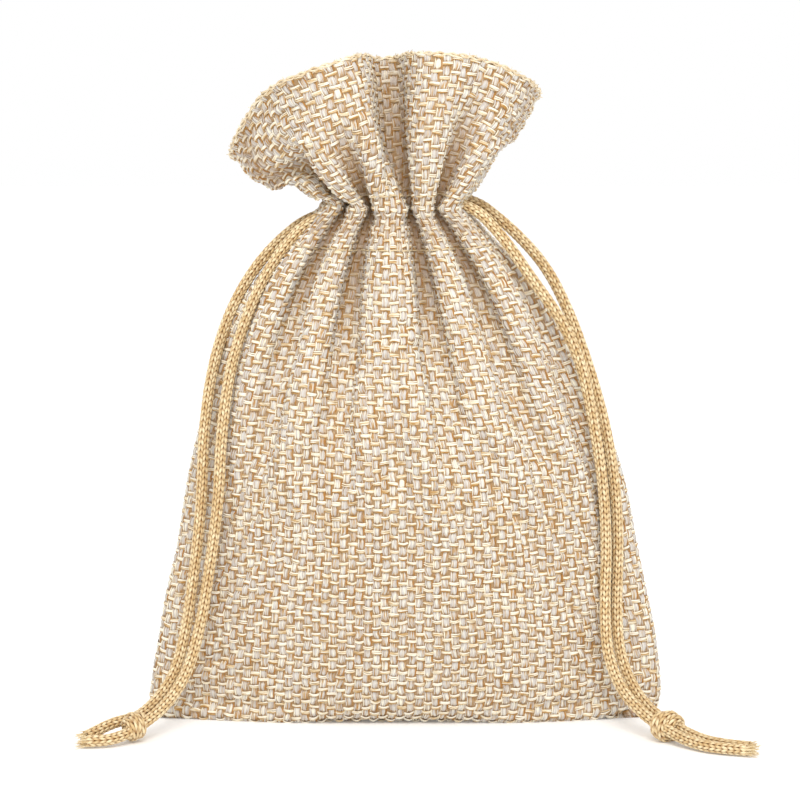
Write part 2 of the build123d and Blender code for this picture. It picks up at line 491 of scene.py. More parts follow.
def knit(strands, line, radius, pitch=1.16):
    """Columns of V-shaped stitches round a line, over a core painted dark as the shade between them."""
    rows = int(line.length / pitch)
    pitch = line.length / rows
    grid = np.meshgrid(np.arange(rows), np.arange(WALES), (-1, 1), indexing="ij")
    row, column, hand = (g.ravel()[:, None] for g in grid)  # one for each leg of each V
    tau = np.linspace(0, 1, 6)[None, :]  # along a leg
    stagger = 0.5 * (column % 2)
    s = np.clip((row + stagger + 1.35 * tau - 0.2) * pitch, 0, line.length)
    lean = hand * (0.05 + 0.37 * tau**0.8)
    angle = (column + lean) * TAU / WALES + TWIST * s
    out = radius * (0.76 + 0.10 * np.sin(math.pi * np.clip(tau * 0.9 + 0.05, 0, 1))) + 0 * s
    place, ahead, side, up = line.frame(s)
    radial = np.cos(angle)[..., None] * side + np.sin(angle)[..., None] * up
    centre = place + radial * out[..., None]
    across = unit(np.cross(radial, unit(np.gradient(centre, axis=1))))
    full = np.array([0.25, 0.8, 1.0, 1.0, 0.85, 0.3]) + 0 * s
    width, height = 0.235 * radius * full, 0.17 * radius * (0.5 + 0.5 * full)
    rings = ring_round(centre, across, radial, width, height, around=6)
    tone = random.uniform(0.25, 0.95, len(row))[:, None] + 0 * s
    # painted shade at both ends of each leg, where it goes in between the stitches
    dip = np.array([1.0, 0.45, 0.0, 0.0, 0.25, 0.9]) + 0 * s
    strands.add(rings, tone, dip)

    s = np.linspace(0, line.length, int(line.length / 0.6) + 2)[None, :]
    place, ahead, side, up = line.frame(s)
    core = np.full(s.shape, 0.68 * radius)
    # the core is painted as shade all over
    strands.add(ring_round(place, side, up, core, core, around=10), 0.1, 1.0)


FRAY_FIBRES = 44
FRAY_REACH = 2.3


def fray(strands, line, radius):
    """Loose fibres at a cord's cut end."""
    tip, ahead, side, up = (a[0] for a in line.frame(np.array([line.length])))
    tau = np.linspace(0, 1, 6)[:, None]
    inside = 0.7  # how far back in the cord each fibre starts
    for _ in range(FRAY_FIBRES):
        angle, out = random.uniform(0, TAU), radius * math.sqrt(random.uniform(0, 0.8))
        radial = math.cos(angle) * side + math.sin(angle) * up
        sideways = np.cross(ahead, radial)
        splay = random.uniform(-0.1, 0.55)
        length = FRAY_REACH * random.uniform(0.35, 1.0)
        curl = random.uniform(-0.3, 0.3)
        centre = tip - ahead * inside + radial * out + ahead * (length + inside) * tau
        centre = centre + (radial * splay + sideways * curl) * length * tau**2
        centre[:, 2] = np.maximum(centre[:, 2], 0.12)  # the ground stops it
        thick = (0.13 * (1 - 0.75 * tau[:, 0]))[None]
        every = np.ones((1, len(tau), 1))
        ring = ring_round(centre[None], radial * every, sideways * every, thick, thick, around=5)
        strands.add(ring, random.uniform(0.3, 1.0), 0.0)


ROUTES = {
    "left_drawstring_front_strand": LEFT_FRONT_ROUTE,
    "left_drawstring_back_strand": LEFT_BACK_ROUTE,
    "right_drawstring_front_strand": RIGHT_FRONT_ROUTE,
    "right_drawstring_back_strand": RIGHT_BACK_ROUTE,
}
Cord = namedtuple("Cord", "piece tips path exit line")
cords = {}
for node, route in ROUTES.items():
    path = route_line(route)
    line = Line(path / MM)
    strands = Strands()
    knit(strands, line, CORD_R)
    piece = strands.piece(node + "_knit", CORD)
    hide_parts(node)
    loose = Strands()
    fray(loose, line, CORD_R)
    tips = loose.piece(node + "_frayed_tip", CORD)
    for each in (piece, tips):
        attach(each, "_".join(node.split("_")[:2]))
    cords[node] = Cord(piece, tips, path, route[1], line)


# The stretch of each cord inside the channel: across the front, round one end and across the back
STRAND_Y = 5.0  # the strands leave the channel this far in front of and behind the seams
for side_name, hand, height in (("left", 1, 100.1), ("right", -1, 102.9)):
    turn = np.linspace(-math.pi / 2, math.pi / 2, 24)
    bend = np.stack([6.5 + STRAND_Y * np.cos(turn), STRAND_Y * np.sin(turn)], 1)
    plan = np.vstack([[(-2.6, -STRAND_Y)], bend, [(-2.6, STRAND_Y)]]) * (hand, 1)
    strands = Strands()
    knit(strands, Line(np.column_stack([plan, np.full(len(plan), height)])), CORD_R)
    piece = strands.piece(f"{side_name}_drawstring_channel_loop_knit", CORD)
    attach(piece, f"{side_name}_drawstring")
    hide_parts(f"{side_name}_drawstring_channel_loop")


KNOT_TURNS = 2.35
KNOT_WIDE = 2.1  # half width of the wraps, level with the ground


def knot(name, body, lines, tall, spread):
    """An overhand knot: the cord's own wraps, drawn tight round both strands.

    tall is the wraps' half height, and spread the share of the CAD knot's length that they cover."""
    low, high = (np.array(c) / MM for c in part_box(name))
    centre = (low + high) / 2
    half = (high[0] - low[0]) / 2
    axis = np.zeros(3)
    for line in lines:
        near = np.argmin(np.linalg.norm(line.places - centre, axis=1))
        axis += line.ahead[near]
    axis /= np.linalg.norm(axis)
    level = np.cross((0, 0, 1), axis)
    level /= np.linalg.norm(level)
    above = np.cross(axis, level)
    t = np.linspace(0, 1, 160)
    angle = TAU * (KNOT_TURNS * t + 0.1)
    tuck = np.minimum(1, np.minimum(t, 1 - t) / 0.16)  # both ends of the wraps go in under the others
    tuck = 0.35 + 0.65 * (3 * tuck**2 - 2 * tuck**3)
    lean = 0.35 * np.cos(angle + 0.9)
    along = (t - 0.5) * 2 * half * spread + lean
    path = (
        centre
        + axis * along[:, None]
        + level * (KNOT_WIDE * tuck * np.cos(angle))[:, None]
        + above * (tall * tuck * np.sin(angle))[:, None]
    )
    path[:, 2] = np.maximum(path[:, 2], 1.15)  # the wraps lie on the ground, not in it
    strands = Strands()
    knit(strands, Line(path), CORD_R * 1.06, pitch=1.1)
    piece = strands.piece(name + "_wraps", CORD)
    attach(piece, body)
    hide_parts(name)
    return piece


for side_name, tall, spread in (("left", 1.5, 0.60), ("right", 1.95, 0.46)):
    body = f"{side_name}_drawstring"
    pair = [cords[f"{body}_{which}_strand"] for which in ("front", "back")]
    wraps = knot(f"{body}_knot", body, [cord.line for cord in pair], tall, spread)

# ---------------------------------------------------------------- cloth

WIDTH = 104.0  # flat width of the bag
HEIGHT = 143.0  # flat height, from the bottom seam to the rim
COLUMNS = 140  # cells round the bag, both sides
ROWS = 100  # cells up the bag
NECK_LOW, NECK_HIGH = 112.0, 113.5  # cloth heights between which the cords gather it
NECK_Z = 99.4  # height of the gathered rows

CELL_U = 2 * WIDTH / COLUMNS
CELL_V = HEIGHT / ROWS
ROW_V = np.arange(ROWS + 1) * CELL_V  # cloth height of each row of points
HALF = COLUMNS // 2 + 1  # points from one side seam to the other
LENS = 2.3  # power of the bag's section: 2 is a parabola, more is flatter in the middle

# Filled body: cloth height, height, half width, half depth
BODY = np.array([
    (0.0, 0.5, 48.2, 0.3),
    (3.0, 0.0, 48.8, 3.6),
    (7.0, 0.3, 49.4, 7.6),
    (10.5, 1.9, 49.8, 10.2),
    (14.0, 5.0, 50.0, 11.9),
    (22.0, 12.8, 49.0, 14.2),
    (32.0, 22.4, 47.4, 16.4),
    (44.0, 34.2, 44.7, 18.4),
    (56.0, 46.0, 42.2, 19.8),
    (68.0, 57.8, 38.6, 19.9),
    (80.0, 69.4, 34.0, 18.2),
    (90.0, 78.6, 29.8, 15.2),
    (98.0, 86.2, 26.0, 13.4),
    (104.0, 92.4, 21.2, 12.6),
    (NECK_LOW, 99.4, 14.4, 11.4),
])


def smooth_table(table, column, at):
    """A smooth curve through a table's column: piecewise cubic with no overshoot."""
    x, y = table[:, 0], table[:, column]
    h = np.diff(x)
    slope = np.diff(y) / h
    below, above = slope[:-1], slope[1:]
    inner = np.where(below * above > 0, 2 * below * above / (below + above + 1e-12), 0)
    m = np.concatenate([[slope[0]], inner, [slope[-1]]])
    k = np.clip(np.searchsorted(x, at, side="right") - 1, 0, len(h) - 1)
    s = np.clip((at - x[k]) / h[k], 0, 1)
    return (
        (2 * s**3 - 3 * s**2 + 1) * y[k]
        + (s**3 - 2 * s**2 + s) * h[k] * m[k]
        + (3 * s**2 - 2 * s**3) * y[k + 1]
        + (s**3 - s**2) * h[k] * m[k + 1]
    )


def through(points, count):
    """count points, evenly spaced by length, on a smooth curve through given points."""
    p = np.asarray(points, float)
    p = np.vstack([2 * p[0] - p[1], p, 2 * p[-1] - p[-2]])
    s = np.linspace(0, 1, 12, endpoint=False)[:, None]
    out = []
    for a, b, c, d in zip(p, p[1:], p[2:], p[3:]):
        square, cube = 2 * a - 5 * b + 4 * c - d, 3 * b - a - 3 * c + d
        out.append(0.5 * (2 * b + (c - a) * s + square * s**2 + cube * s**3))
    dense = np.vstack(out + [p[-2:-1]])
    return evenly(dense, count)


def evenly(dense, count):
    """count places, evenly spaced by length, along a dense line."""
    run = length_along(dense)
    return places_at(dense, run, np.linspace(0, run[-1], count))


# The gathered neck seen from above, left seam to right seam: (x, y)
NECK_FRONT = [
    (-13.6, 0.0), (-13.9, -3.0), (-13.2, -6.6), (-11.6, -9.4), (-10.2, -9.6), (-9.5, -7.0),
    (-9.2, -6.3), (-8.7, -7.2), (-8.3, -10.2), (-6.9, -11.6), (-5.2, -10.8), (-4.6, -7.6),
    (-4.2, -6.2), (-3.7, -7.4), (-3.4, -11.0), (-1.8, -12.6), (0.8, -12.8), (2.6, -11.4),
    (3.0, -8.0), (3.3, -6.2), (3.8, -7.6), (4.2, -10.8), (5.6, -11.9), (7.4, -11.0),
    (7.9, -8.0), (8.2, -6.3), (8.8, -7.4), (9.2, -9.8), (10.8, -10.4), (12.8, -8.2),
    (13.9, -5.0), (14.2, -2.4), (13.8, 0.0),
]
NECK_BACK = [
    (13.8, 0.0), (14.0, 3.0), (13.0, 6.8), (11.6, 9.4), (9.9, 9.4), (9.1, 6.9), (8.7, 6.3),
    (8.2, 7.4), (7.8, 10.4), (6.0, 11.6), (4.4, 10.8), (3.9, 7.8), (3.5, 6.3), (3.0, 7.4),
    (2.6, 10.6), (0.6, 12.2), (-1.8, 11.8), (-2.9, 9.6), (-3.2, 6.3), (-3.8, 7.4), (-4.3, 10.2),
    (-6.0, 11.4), (-7.6, 10.6), (-8.2, 7.8), (-8.7, 6.3), (-9.2, 7.4), (-9.8, 9.4),
    (-11.6, 9.4), (-13.2, 6.4), (-14.0, 3.0), (-13.6, 0.0),
]

# The rim, left seam to right seam and back again: (x, y, z)
RIM_FRONT = [
    (-26.0, 21.0, 108.2), (-29.6, 15.5, 106.2), (-31.2, 9.0, 105.8), (-30.2, 2.5, 108.4),
    (-26.8, -3.2, 114.2), (-24.4, -7.6, 119.6), (-23.4, -12.6, 122.6), (-20.4, -17.2, 124.4),
    (-16.4, -19.8, 126.4), (-11.6, -20.6, 128.4), (-7.4, -19.4, 129.6), (-4.8, -15.6, 130.2),
    (-4.4, -9.6, 130.2), (-4.0, -3.4, 129.4), (-2.0, 1.2, 128.6), (0.4, 0.6, 128.4),
    (1.6, -4.6, 129.0), (2.4, -10.4, 129.6),
    (4.8, -15.2, 130.0), (9.0, -17.4, 130.0), (13.2, -16.2, 129.6), (15.8, -11.6, 129.0),
    (18.4, -8.6, 128.2), (21.2, -9.6, 126.8), (24.0, -10.6, 124.9), (26.4, -7.0, 122.9),
    (28.0, -0.5, 121.4), (28.6, 8.0, 119.8), (27.6, 15.5, 118.2),
]
RIM_BACK = [
    (27.6, 15.5, 118.2), (24.8, 20.0, 119.2), (20.8, 21.6, 121.4), (16.4, 19.4, 123.8),
    (13.0, 14.6, 125.8), (9.8, 10.6, 127.2), (6.2, 10.8, 127.8), (2.8, 14.6, 127.8),
    (-1.0, 18.4, 127.6), (-5.6, 19.8, 127.0), (-10.0, 18.0, 126.0), (-12.8, 13.4, 124.8),
    (-15.8, 10.6, 123.2), (-19.6, 11.6, 120.8), (-22.6, 16.4, 116.8), (-24.0, 20.6, 112.4),
    (-24.8, 22.4, 109.4), (-26.0, 21.0, 108.2),
]


def loop_of(front, back):
    """Points round the bag, one for each column, from the left seam by the front."""
    return np.vstack([through(front, HALF)[:-1], through(back, HALF)[:-1]])


def body_ring(z, a, b):
    """A lens section round the bag at one height."""
    s = np.linspace(-1, 1, 400)
    arc = np.stack([a * s, -b * (1 - np.abs(s) ** LENS)], 1)
    front = evenly(arc, HALF)
    back = front[::-1] * (1, -1)
    ring = np.vstack([front[:-1], back[:-1]])
    return np.column_stack([ring, np.full(len(ring), z)])


GATHER_FROM = 56.0  # cloth height at which the neck's pleats begin to show in the bag
DEEPER_FROM = 72.0  # above it the pleats are deeper than at the neck itself
PLEAT_MIDDLE = 9.4  # how far from the seams the neck's pleats swing in and out
NECK_HALF_WIDTH, NECK_HALF_DEPTH = 14.0, 11.4
FRILL_BULGE = 5.0


def bag_row(height, neck):
    """One row of the bag under the neck: the lens section, giving way to the neck's pleats."""
    z, a, b = (smooth_table(BODY, k, np.array([height]))[0] for k in (1, 2, 3))
    ring = body_ring(z, a, b)
    gather = np.clip((height - GATHER_FROM) / (NECK_LOW - GATHER_FROM), 0, 1) ** 1.7
    rise = np.clip((height - DEEPER_FROM) / (NECK_LOW - DEEPER_FROM), 0, 1)
    deeper = 1 + math.sin(math.pi * rise**2)
    x, y = neck.T
    middle = np.sign(y) * PLEAT_MIDDLE
    pleats = np.where(np.abs(x) < 12.5, middle + (y - middle) * deeper, y)
    wide, deep = x * a / NECK_HALF_WIDTH, pleats * b / NECK_HALF_DEPTH
    scaled = np.column_stack([wide, deep, np.full(COLUMNS, z)])
    return ring * (1 - gather) + scaled * gather


def frill_row(height, neck, rim):
    """One row of the frill, bulging out between the neck and the rim."""
    s = (height - NECK_HIGH) / (HEIGHT - NECK_HIGH)
    root = np.column_stack([neck, np.full(COLUMNS, NECK_Z + NECK_HIGH - NECK_LOW)])
    outward = rim - root
    outer = np.clip((np.abs(root[:, 0]) - 5) / 5, 0, 1)  # the frill's ends bulge up more than out
    outward[:, 2] = 3 + 13 * outer
    outward[:, :2] *= 1 - 0.8 * outer[:, None]
    bulge = FRILL_BULGE * math.sin(math.pi * min(1.0, s * 1.15)) * (1 - s)
    out = bulge * outward / (np.linalg.norm(outward, axis=1, keepdims=True) + 4.0)
    return root * (1 - s) + rim * s + out


def start_shape():
    """The bag before its cloth settles: lens body, gathered neck, open frill."""
    shape = np.zeros((COLUMNS, ROWS + 1, 3))
    neck = loop_of(NECK_FRONT, NECK_BACK)
    rim = loop_of(RIM_FRONT, RIM_BACK)
    for row, height in enumerate(ROW_V):
        if height <= NECK_LOW:
            shape[:, row] = bag_row(height, neck)
        elif height <= NECK_HIGH:
            z = NECK_Z + (height - NECK_LOW)
            shape[:, row] = np.column_stack([neck, np.full(COLUMNS, z)])
        else:
            shape[:, row] = frill_row(height, neck, rim)
    return shape


def pull(points, a, b, rest, strength, hold):
    """Moves the ends of one set of separate threads towards their rest length."""
    gap = points[b] - points[a]
    length = np.sqrt((gap * gap).sum(-1, keepdims=True)) + TINY
    hold_a, hold_b = hold[a], hold[b]
    share = strength * (length - rest) / length / np.maximum(hold_a + hold_b, TINY) * gap
    points[a] += hold_a * share
    points[b] -= hold_b * share


def open_out(points, rest_u, reach, strength, hold):
    """Pushes points some columns apart away from each other where the cloth turns too sharply."""
    for first in range(2 * reach):
        a = np.arange(first, COLUMNS, 2 * reach)
        b = (a + reach) % COLUMNS
        gap = points[b] - points[a]
        length = np.sqrt((gap * gap).sum(-1, keepdims=True)) + TINY
        push = strength * np.maximum(reach * rest_u[a] - length, 0) / length * gap * 0.5
        points[a] -= push * hold[a]
        points[b] += push * hold[b]


def fill_out(points, tables):
    """Keeps the cloth outside what fills the bag's lower part."""
    z_table, a_table, b_table = tables
    inside_a = np.interp(points[..., 2], z_table, a_table)
    inside_b = np.interp(points[..., 2], z_table, b_table)
    fill = np.clip((84.0 - points[..., 2]) / 34.0, 0, 1) ** 0.7
    section = 1 - np.clip(np.abs(points[..., 0]) / inside_a, 0, 1) ** LENS
    side = np.ones(COLUMNS)
    side[:HALF] = -1
    depth = fill * inside_b * section - 0.4
    out = np.maximum(depth - side[:, None] * points[..., 1], 0) * side[:, None]
    filled = (ROW_V < 98) & (ROW_V > 12)
    points[..., 1] += np.where(filled[None, :], 0.5 * out, 0)


def settle(shape, rounds):
    """Lets the cloth find its folds: threads keep their length, the filling holds it out."""
    points = shape.copy()
    v = ROW_V
    free = np.where((v > NECK_LOW - 0.1) & (v < NECK_HIGH + 0.1), 0.0, 1.0)  # the neck stays put
    hold = np.broadcast_to(free[None, :, None], (COLUMNS, ROWS + 1, 1)).copy()
    rest_u = CELL_U * (1 - 0.42 * np.exp(-(((v - 110.0) / 9.0) ** 2)))  # gathered cloth is closer
    rest_u = rest_u[None, :, None] * np.ones((COLUMNS, 1, 1))
    shape_keeping = 0.006 + 0.014 * np.clip((v - 86) / 12, 0, 1)
    shape_keeping = np.where(v < NECK_LOW, shape_keeping, 0.014)[None, :, None]
    first_frill_row = int(np.searchsorted(v, NECK_HIGH))
    tables = [smooth_table(BODY, k, np.linspace(0, NECK_LOW, 200)) for k in (1, 2, 3)]
    order = np.argsort(tables[0])
    tables = [table[order] for table in tables]
    opposite = (COLUMNS - np.arange(COLUMNS)) % COLUMNS  # the same place on the bag's other side
    forward, back = slice(None, -1), slice(1, None)
    every = slice(None)
    for _ in range(rounds):
        for parity in (0, 1):
            left = np.arange(parity, COLUMNS, 2)
            right = (left + 1) % COLUMNS
            pull(points, (left,), (right,), rest_u[left], 0.9, hold)
            below = np.arange(parity, ROWS, 2)
            pull(points, (every, below), (every, below + 1), CELL_V, 0.9, hold)
            diagonal = np.sqrt(rest_u[left][:, :-1] ** 2 + CELL_V**2)
            for near, far in ((forward, back), (back, forward)):
                pull(points, (left, near), (right, far), diagonal, 0.12, hold)
        for reach, strength in ((2, 0.10), (4, 0.04)):
            open_out(points, rest_u, reach, strength, hold)
        # Stiffness up the bag, and more of it in the frill
        for reach, strength, lowest in (
            (2, 0.10, 0), (4, 0.10, first_frill_row), (7, 0.08, first_frill_row)
        ):
            for first in range(2 * reach):
                a = np.arange(lowest + first, ROWS + 1 - reach, 2 * reach)
                pull(points, (every, a), (every, a + reach), reach * CELL_V, strength, hold)
        points += shape_keeping * (shape - points) * hold
        fill_out(points, tables)
        points[..., 2] = np.maximum(points[..., 2], 0.0)
        joined = 0.5 * (points[:, 0] + points[opposite, 0])  # the bottom seam
        joined[:first_frill_row, 1] = 0
        points[:, 0] = joined
    return points


# How the filled bag sags sideways: cloth height, shift of its left edge, shift of its right edge
SAG = np.array([
    (0.0, 1.0, -1.8), (5.0, 1.2, 1.4), (10.0, 1.4, 3.2), (16.0, 1.6, 3.8), (24.5, 2.1, 3.8),
    (32.5, 2.3, 3.3), (43.0, 2.8, 3.0), (53.0, 2.6, 2.9), (63.0, 2.2, 2.5), (72.0, 1.5, 1.6),
    (82.5, 0.8, 0.8), (95.0, 0.3, 0.3), (108.0, 0.0, 0.0), (HEIGHT, 0.0, 0.0),
])


def sag(points):
    """Moves the settled cloth sideways by SAG."""
    left, right = smooth_table(SAG, 1, ROW_V)[None], smooth_table(SAG, 2, ROW_V)[None]
    share = np.clip(points[..., 0] / 50, -1, 1) * 0.5 + 0.5  # from the left edge to the right
    points[..., 0] += left * (1 - share) + right * share
    return points


def cell(u, v):
    """The cell of the cloth that each flat place is in, and how far into it the place lies."""
    fu, fv = u / CELL_U, np.clip(v / CELL_V, 0, ROWS - 1e-6)
    iu, iv = np.floor(fu).astype(int), np.floor(fv).astype(int)
    return iu, iv, fu - iu, fv - iv


def catmull_rom(s):
    """The weights of the four points round a place between the middle two."""
    return (
        0.5 * (-s + 2 * s**2 - s**3),
        0.5 * (2 - 5 * s**2 + 3 * s**3),
        0.5 * (s + 4 * s**2 - 3 * s**3),
        0.5 * (-(s**2) + s**3),
    )


class Cloth:
    """The settled cloth as a smooth surface over its flat coordinates."""

    REACH = 0.25  # how far to each side a direction of the surface is measured

    def __init__(self, points):
        self.points = points
        # painted shade for the yarns in the folds near the neck
        self.deep = self.valley_shade()

    def at(self, u, v):
        """Places at flat coordinates u round the bag and v up it."""
        iu, iv, su, sv = cell(u, v)
        weights_u, weights_v = catmull_rom(su), catmull_rom(sv)
        total = np.zeros(u.shape + (3,))
        for a in range(4):
            column = (iu + a - 1) % COLUMNS
            for b in range(4):
                row = iv + b - 1
                inner = np.clip(row, 0, ROWS)
                value = self.points[column, inner]
                past = row - inner  # the cloth goes on straight past its edges
                nearer = np.clip(inner - np.sign(past), 0, ROWS)
                value = value + np.abs(past)[..., None] * (value - self.points[column, nearer])
                total += (weights_u[a] * weights_v[b])[..., None] * value
        return total

    def valley_shade(self):
        """How deep each point lies between the folds beside it, near the neck, as painted shade, with a
        band of painted shade under the drawstrings.
        """
        depth = np.abs(self.points[..., 1])
        around = sum(np.roll(depth, k, axis=0) for k in range(-4, 5)) / 9
        near = np.exp(-(((ROW_V - 109.0) / np.where(ROW_V > 109, 28.0, 14.0)) ** 2))
        past_seam = np.arange(COLUMNS) % (COLUMNS // 2)
        from_seam = np.minimum(past_seam, COLUMNS // 2 - past_seam)
        near = near * np.clip((from_seam - 3) / 5, 0, 1)[:, None]  # a side seam isn't in a valley, so it gets no painted shade
        line = 0.25 * np.exp(-(((ROW_V - 109.5) / 2.5) ** 2))  # painted shade under the drawstrings
        return np.clip((around - depth) / 2.2, 0, 1) * near + line

    def fold_shade(self, u, v):
        """The painted shade of the valleys and under the drawstrings, at flat coordinates."""
        iu, iv, su, sv = cell(u, v)
        a, b = iu % COLUMNS, (iu + 1) % COLUMNS
        low = self.deep[a, iv] * (1 - su) + self.deep[b, iv] * su
        high = self.deep[a, iv + 1] * (1 - su) + self.deep[b, iv + 1] * su
        return low * (1 - sv) + high * sv

    def frame(self, u, v):
        """Places, directions along u and v, and the outward normal."""
        e = self.REACH
        here = self.at(u, v)
        du = unit(self.at(u + e, v) - self.at(u - e, v))
        dv = unit(self.at(u, np.minimum(v + e, HEIGHT)) - self.at(u, np.maximum(v - e, 0)))
        return here, du, dv, unit(np.cross(du, dv))


ROUNDS = 700
cloth = Cloth(sag(settle(start_shape(), ROUNDS)))

WARPS = 124  # threads up the bag, both sides
WEFTS = 108  # threads round it
PITCH_U = 2 * WIDTH / WARPS
PITCH_V = HEIGHT / WEFTS

# The strands of one yarn: place across it, width, height above its middle, shade. The darkest strand is
# the yarn's brown ply, set at one edge as painted shade: along one side of each warp, and as a painted
# shadow line under each weft.
WARP_STRANDS = (
    (0.0, 1.36, 0.0, 0.01), (-0.58, 0.28, 0.07, 0.13),
    (0.62, 0.30, 0.05, -0.16), (0.16, 0.20, 0.10, 0.09),
)
WEFT_STRANDS = ((-0.27, 0.26, 0.0, -0.16), (-0.06, 0.32, 0.09, 0.08), (0.18, 0.32, 0.06, 0.15))


STEPS = 4  # points on a yarn from one crossing to the next
EDGE = 0.05  # yarns stay this far inside the cloth's own edges


def yarns(name, lengthwise, lines, span, pitch, crossing_pitch, strands, material, side_u, lift):
    """Yarns of one direction on one side of the bag, each over and under the other way's."""
    count = int(round((span[1] - span[0]) / crossing_pitch)) * STEPS + 1
    t = np.linspace(span[0], span[1], count)
    knots = np.linspace(*span, count // STEPS + 2)
    across = np.array([-1.0, 0.0, 1.0])
    vertices, faces, shades, sides, dip_shades, fold_shades, uvs = [], [], [], [], [], [], []
    start = 0

    def drift(size):
        return size * np.interp(t, knots, random.normal(size=len(knots)))

    for line in lines:
        place = (line + 0.5) * pitch + (side_u if lengthwise else 0)
        wander = 0.12 * np.sin(t * 0.21 + line * 1.7) + 0.08 * np.sin(t * 0.53 + line * 2.9)
        wander = wander + drift(0.10)
        phase = math.pi * (t / crossing_pitch - 0.5) + math.pi * line
        wave = np.cos(phase) if lengthwise else -np.cos(phase)
        swing = np.sign(wave) * np.abs(wave) ** 0.7
        yarn_shade = random.uniform(-0.02, 0.02)
        for offset, width, height, shade in strands:
            shade = shade * (0.6 + 0.5 * np.tanh(drift(1.2))) + yarn_shade + drift(0.045)
            wide = width * (1 + 0.2 * np.sin(t * 0.9 + line * 2.3 + offset * 9))
            middle = place + wander + offset + drift(0.05)
            grid_c = middle[:, None] + across[None, :] * wide[:, None] / 2
            grid_t = np.repeat(t[:, None], 3, 1)
            u, v = (grid_c, grid_t) if lengthwise else (grid_t, grid_c)
            if lengthwise:
                u = np.clip(u, side_u + EDGE, side_u + WIDTH - EDGE)
            v = np.clip(v, EDGE, HEIGHT)
            here, _, _, normal = cloth.frame(u, v)
            arch = np.where(across == 0, 0.30, -0.42) * min(width, 0.4)
            rise = lift * swing[:, None] + (height + arch)[None, :]
            here = here + normal * rise[..., None]
            vertices.append(here.reshape(-1, 3))
            faces.append(strip_faces(count, 3, start=start))
            start += count * 3
            shades.append(np.repeat(shade, 3))
            sides.append(np.tile(np.abs(across), count))
            # painted shade where the yarn passes under the crossing yarn
            dip_shades.append(np.repeat(np.clip(-wave, 0, 1) ** 1.5, 3))
            # painted shade of the folds, for the shader
            fold_shades.append(cloth.fold_shade(u, v).ravel())
            # Where the shader's fibres lie: each line and strand has its own part of the pattern
            fibre_across = np.tile(across * width / 2 + line * 3.7 + offset, count)
            fibre_along = np.repeat(t / crossing_pitch + line * 7.31, 3)
            uvs.append(np.stack([fibre_across, fibre_along], 1))
    parts = {"shade": shades, "side": sides, "dip": dip_shades, "fold_shade": fold_shades}
    attributes = {key: np.concatenate(values) for key, values in parts.items()}
    return mesh_object(
        name, np.vstack(vertices), np.vstack(faces), material, attributes, np.vstack(uvs)
    )


def ground(name, side_u):
    """The continuous cloth under the yarns of one side of the bag."""
    columns, rows = 125, 178
    u = side_u + np.linspace(0, WIDTH, columns)[None, :] * np.ones((rows, 1))
    v = np.linspace(0, HEIGHT, rows)[:, None] * np.ones((1, columns))
    here, _, _, normal = cloth.frame(u, v)
    here = here - normal * 0.03
    return mesh_object(name, here.reshape(-1, 3), strip_faces(rows, columns), GROUND)


# The frill bends out from the neck.
# Side, first u, lip body, and the bend's direction, start and length in metres
sides = (
    ("front", 0.0, "front_lip", Vector((-0.20, -0.50, 0.87)), 0.0085, 0.0200),
    ("back", WIDTH, "back_lip", Vector((-0.15, 0.30, 0.95)), 0.0186, 0.0130),
)


def ride_cloth(piece, lip, direction, start, length):
    """Bakes a piece of the cloth's placement into its mesh."""
    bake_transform(piece)


for side, side_u, *bend in sides:
    sheet = ground(f"{side}_cloth", side_u)
    warps = yarns(
        f"{side}_warp_yarns", True, range(WARPS // 2), (0, HEIGHT), PITCH_U, PITCH_V,
        WARP_STRANDS, WARP, side_u, lift=0.12,
    )
    wefts = yarns(
        f"{side}_weft_yarns", False, range(WEFTS), (side_u, side_u + WIDTH), PITCH_V, PITCH_U,
        WEFT_STRANDS, WEFT, side_u, lift=0.30,
    )
    for piece in (sheet, warps, wefts):
        ride_cloth(piece, *bend)
    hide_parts(f"{side}_panel", f"{side}_casing", f"{side}_frill")

# ---------------------------------------------------------------- seams and stitches


SEAM_THREAD = 0.4  # thickness of the thread that closes the seams


def thread(strands, places, thick, tone):
    """A round thread through places, in millimetres. A list of tones makes a mottled thread."""
    line = Line(places)
    s = np.linspace(0, line.length, max(4, int(line.length / 0.45)))[None, :]
    place, _, side, up = line.frame(s)
    width = np.full(s.shape, thick / 2)
    if np.ndim(tone):
        rings, mottles = s.shape[1], 220
        mottled = random.uniform(0.1, 1, mottles)
        tone = np.interp(np.arange(rings), np.linspace(0, rings, mottles), mottled)[None]
    strands.add(ring_round(place, side, up, width, width, 6), tone, 0.0)


STITCH = 2.3  # length of a stitch
STITCH_PITCH = 3.1
SEAM_CLEAR = 9  # no stitches this near a side seam, where the drawstrings come out


def stitch_row(name, node, height):
    """Running stitches all round the bag, just proud of its cloth."""
    strands = Strands()
    for start in np.arange(1.0, 2 * WIDTH - 2.0, STITCH_PITCH):
        if min(start % WIDTH, WIDTH - start % WIDTH) < SEAM_CLEAR:
            continue
        u = start + np.linspace(0, STITCH, 9)
        v = height + 0.1 * math.sin(start) + 0 * u
        here, _, _, normal = cloth.frame(u, v)
        rise = 0.42 * np.sin(np.linspace(0, math.pi, 9)) ** 0.5 - 0.05
        thread(strands, here + normal * rise[:, None], 0.34, random.uniform(0.4, 0.8))
    piece = strands.piece(name, THREAD)
    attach(piece, "pouch")
    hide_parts(node)


# The threads of the mouth's edge: depth below the rim, distance out of the cloth, thickness
RIM_THREADS = ((0.25, 0.22, 0.42), (0.6, -0.2, 0.4), (0.0, 0.0, 0.4), (0.1, -0.1, 0.3))
LOOSE_FIBRES = 130  # on each side


